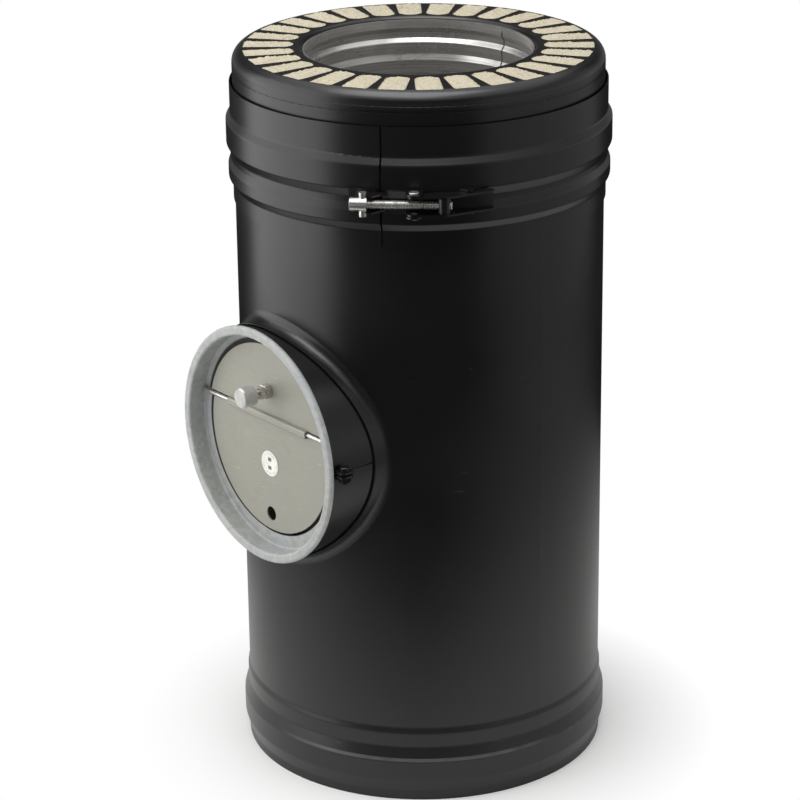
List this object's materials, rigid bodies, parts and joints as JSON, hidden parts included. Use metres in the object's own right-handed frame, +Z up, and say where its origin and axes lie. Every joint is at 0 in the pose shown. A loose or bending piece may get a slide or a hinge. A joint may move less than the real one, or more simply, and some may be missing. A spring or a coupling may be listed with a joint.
{
  "type": "insulated stove pipe with draft regulator",
  "caption": "Straight insulated stove pipe with a slotted top ring, a clamping band with an over-centre lock and a side branch holding a balanced draft regulator disc.",
  "frame": {"origin": "on the pipe's axis, at the lower edge of the outer shell", "axes": "+Z up the pipe's axis, -Y out of the branch through the regulator, +X along the regulator's axle"},
  "size_m": [0.2602, 0.2858, 0.5],
  "materials": {
    "black_paint": "satin black heat-proof paint",
    "stainless": "bright rolled stainless steel",
    "galvanised": "mottled galvanised steel",
    "disc_steel": "matt sheet steel with fine scratches",
    "bright_steel": "zinc-plated turned steel",
    "wool": "cream mineral wool",
    "label": "plain white sticker"
  },
  "bodies": {
    "pipe": {"outer_shell": "black_paint", "inner_liner": "stainless", "insulation": "wool", "top_cap": "black_paint", "bottom_cap": "black_paint", "locking_band": "black_paint", "hook_bracket": "black_paint", "lever_bracket": "black_paint", "lever_pivots": "bright_steel", "branch_sleeve": "stainless", "branch_collar": "black_paint", "pinch_screw": "bright_steel", "pinch_nut": "bright_steel", "regulator_ring": "galvanised"},
    "damper": {"regulator_disc": "disc_steel", "axle_rod": "bright_steel", "weight_stud": "bright_steel", "stud_base_nut": "bright_steel", "stud_lock_nut": "bright_steel", "stud_back_nut": "bright_steel", "disc_label": "label"},
    "weight": {"weight_knob": "bright_steel"},
    "lever": {"lock_lever": "black_paint"},
    "draw_bolt": {"barrel_nut": "bright_steel", "tee_bar": "bright_steel", "tension_screw": "bright_steel"}
  },
  "joints": [
    {"name": "damper_swing", "type": "hinge", "parent": "pipe", "child": "damper", "pos_m": [0, -0.1328, 0.2665], "axis": [1, 0, 0], "range_deg": [0, 50]},
    {"name": "weight_adjust", "type": "slide", "parent": "damper", "child": "weight", "axis": [0, -1, 0], "range_m": [-0.003, 0.004]},
    {"name": "lever_swing", "type": "hinge", "parent": "pipe", "child": "lever", "pos_m": [0.105, -0.09089, 0.4302], "axis": [0, 0, -1], "range_deg": [0, 120]},
    {"name": "bolt_pivot", "type": "hinge", "parent": "lever", "child": "draw_bolt", "pos_m": [0.11728, -0.07605, 0.4302], "axis": [0, 0, -1], "range_deg": [-120, 0]}
  ],
  "couplings": [
    {"joint": "bolt_pivot", "follows": "lever_swing", "ratio": -1}
  ]
}
